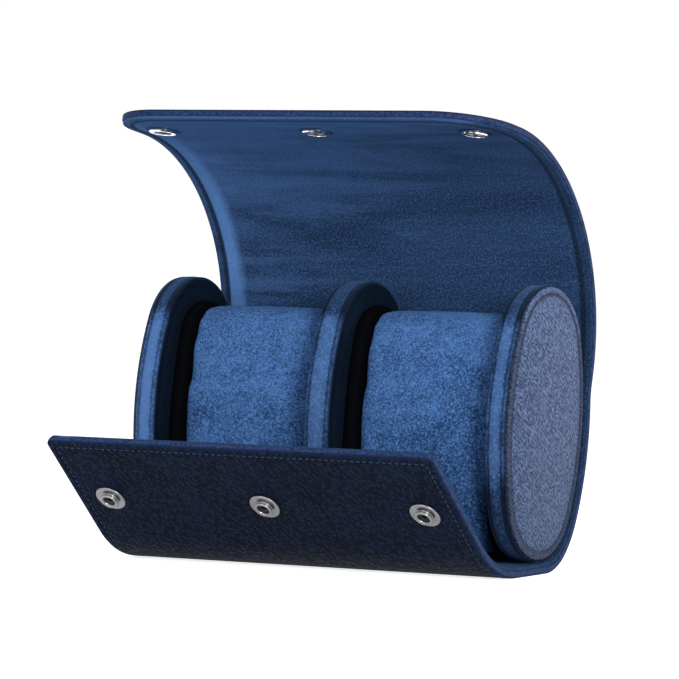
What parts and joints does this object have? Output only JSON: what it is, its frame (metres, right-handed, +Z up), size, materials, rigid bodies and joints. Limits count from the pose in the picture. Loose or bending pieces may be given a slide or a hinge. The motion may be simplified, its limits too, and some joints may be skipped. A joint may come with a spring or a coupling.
{
  "type": "watch travel case",
  "caption": "Leather travel case for two watches: a long lid and a front flap wrap oval end panels, a divider and lift-out cushions, and close with snaps.",
  "frame": {"origin": "centre of the flat underside that the open case stands on, under the middle panel, on the table plane", "axes": "+X runs along the case towards its right-hand end panel, -Y is the front where the flap leans out, +Z is up"},
  "size_m": [0.1628, 0.1232, 0.1667],
  "materials": {
    "outer_leather": "pebbled, satin",
    "suede": "napped, matt",
    "board": "raw fibreboard",
    "panel_board": "raw fibreboard",
    "facing_leather": "smooth, satin",
    "foam": "open-cell foam",
    "pad_fabric": "dense black felt",
    "steel": "bright nickel plate",
    "bonding": "thin bonding film"
  },
  "bodies": {
    "case_base": {"base_leather": "outer_leather", "base_board": "board", "base_lining": "suede", "left_end_leather": "outer_leather", "left_end_padding": "foam", "left_end_core": "panel_board", "left_end_rim": "suede", "left_end_facing": "facing_leather", "right_end_leather": "outer_leather", "right_end_padding": "foam", "right_end_core": "panel_board", "right_end_rim": "suede", "right_end_facing": "facing_leather", "centre_core": "panel_board", "centre_rim": "suede", "centre_left_facing": "facing_leather", "centre_right_facing": "facing_leather", "bonding_strips": "bonding"},
    "lid_spine": {"spine_leather": "outer_leather", "spine_board": "board", "spine_lining": "suede"},
    "lid_strip_1": {"lid1_leather": "outer_leather", "lid1_board": "board", "lid1_lining": "suede"},
    "lid_strip_2": {"lid2_leather": "outer_leather", "lid2_board": "board", "lid2_lining": "suede"},
    "lid_strip_3": {"lid3_leather": "outer_leather", "lid3_board": "board", "lid3_lining": "suede"},
    "lid_strip_4": {"lid4_leather": "outer_leather", "lid4_board": "board", "lid4_lining": "suede"},
    "lid_strip_5": {"lid5_leather": "outer_leather", "lid5_board": "board", "lid5_lining": "suede"},
    "lid_strip_6": {"lid6_leather": "outer_leather", "lid6_board": "board", "lid6_lining": "suede"},
    "lid_tip": {"lidtip_leather": "outer_leather", "lidtip_board": "board", "lidtip_lining": "suede", "snap_sockets": "steel", "socket_springs": "steel", "snap_caps": "steel"},
    "front_flap": {"flap_leather": "outer_leather", "flap_board": "board", "flap_lining": "suede", "snap_studs": "steel", "stud_posts": "steel"},
    "flap_tip": {"flaptip_leather": "outer_leather", "flaptip_board": "board", "flaptip_lining": "suede"},
    "left_cushion": {"left_cushion_foam": "foam", "left_cushion_cover": "suede", "left_cushion_pads": "pad_fabric"},
    "right_cushion": {"right_cushion_foam": "foam", "right_cushion_cover": "suede", "right_cushion_pads": "pad_fabric"}
  },
  "joints": [
    {"name": "lid_fold_back", "type": "hinge", "parent": "case_base", "child": "lid_spine", "pos_m": [0, 0.03544, 0.05072], "axis": [1, 0, 0], "range_deg": [-75, 0]},
    {"name": "lid_flex_1", "type": "hinge", "parent": "lid_spine", "child": "lid_strip_1", "pos_m": [0, 0.03259, 0.06387], "axis": [1, 0, 0], "range_deg": [0, 3.91]},
    {"name": "lid_close", "type": "hinge", "parent": "lid_strip_1", "child": "lid_strip_2", "pos_m": [0, 0.03638, 0.08437], "axis": [1, 0, 0], "range_deg": [0, 26.24]},
    {"name": "lid_flex_3", "type": "hinge", "parent": "lid_strip_2", "child": "lid_strip_3", "pos_m": [0, 0.03511, 0.10223], "axis": [1, 0, 0], "range_deg": [0, 20.65]},
    {"name": "lid_flex_4", "type": "hinge", "parent": "lid_strip_3", "child": "lid_strip_4", "pos_m": [0, 0.0294, 0.11919], "axis": [1, 0, 0], "range_deg": [0, 21.87]},
    {"name": "lid_flex_5", "type": "hinge", "parent": "lid_strip_4", "child": "lid_strip_5", "pos_m": [0, 0.01953, 0.13426], "axis": [1, 0, 0], "range_deg": [0, 14.31]},
    {"name": "lid_flex_6", "type": "hinge", "parent": "lid_strip_5", "child": "lid_strip_6", "pos_m": [0, 0.00496, 0.14717], "axis": [1, 0, 0], "range_deg": [0, 5.46]},
    {"name": "lid_flex_7", "type": "hinge", "parent": "lid_strip_6", "child": "lid_tip", "pos_m": [0, -0.0211, 0.15776], "axis": [1, 0, 0], "range_deg": [0, 7.42]},
    {"name": "flap_close", "type": "hinge", "parent": "case_base", "child": "front_flap", "pos_m": [0, -0.0125, 0.0035], "axis": [-1, 0, 0], "range_deg": [0, 46.8]},
    {"name": "flap_tip_flex", "type": "hinge", "parent": "front_flap", "child": "flap_tip", "pos_m": [0, -0.06595, 0.03412], "axis": [-1, 0, 0], "range_deg": [0, 17.77]},
    {"name": "left_cushion_out", "type": "slide", "parent": "case_base", "child": "left_cushion", "axis": [0, 0.7071, -0.7071], "range_m": [-0.055, 0]},
    {"name": "right_cushion_out", "type": "slide", "parent": "case_base", "child": "right_cushion", "axis": [0, 0.7071, -0.7071], "range_m": [-0.055, 0]}
  ],
  "couplings": [
    {"joint": "lid_flex_1", "follows": "lid_close", "ratio": 0.14891},
    {"joint": "lid_flex_3", "follows": "lid_close", "ratio": 0.78688},
    {"joint": "lid_flex_4", "follows": "lid_close", "ratio": 0.83338},
    {"joint": "lid_flex_5", "follows": "lid_close", "ratio": 0.54545},
    {"joint": "lid_flex_6", "follows": "lid_close", "ratio": 0.20793},
    {"joint": "lid_flex_7", "follows": "lid_close", "ratio": 0.28277},
    {"joint": "flap_tip_flex", "follows": "flap_close", "ratio": 0.37965}
  ]
}
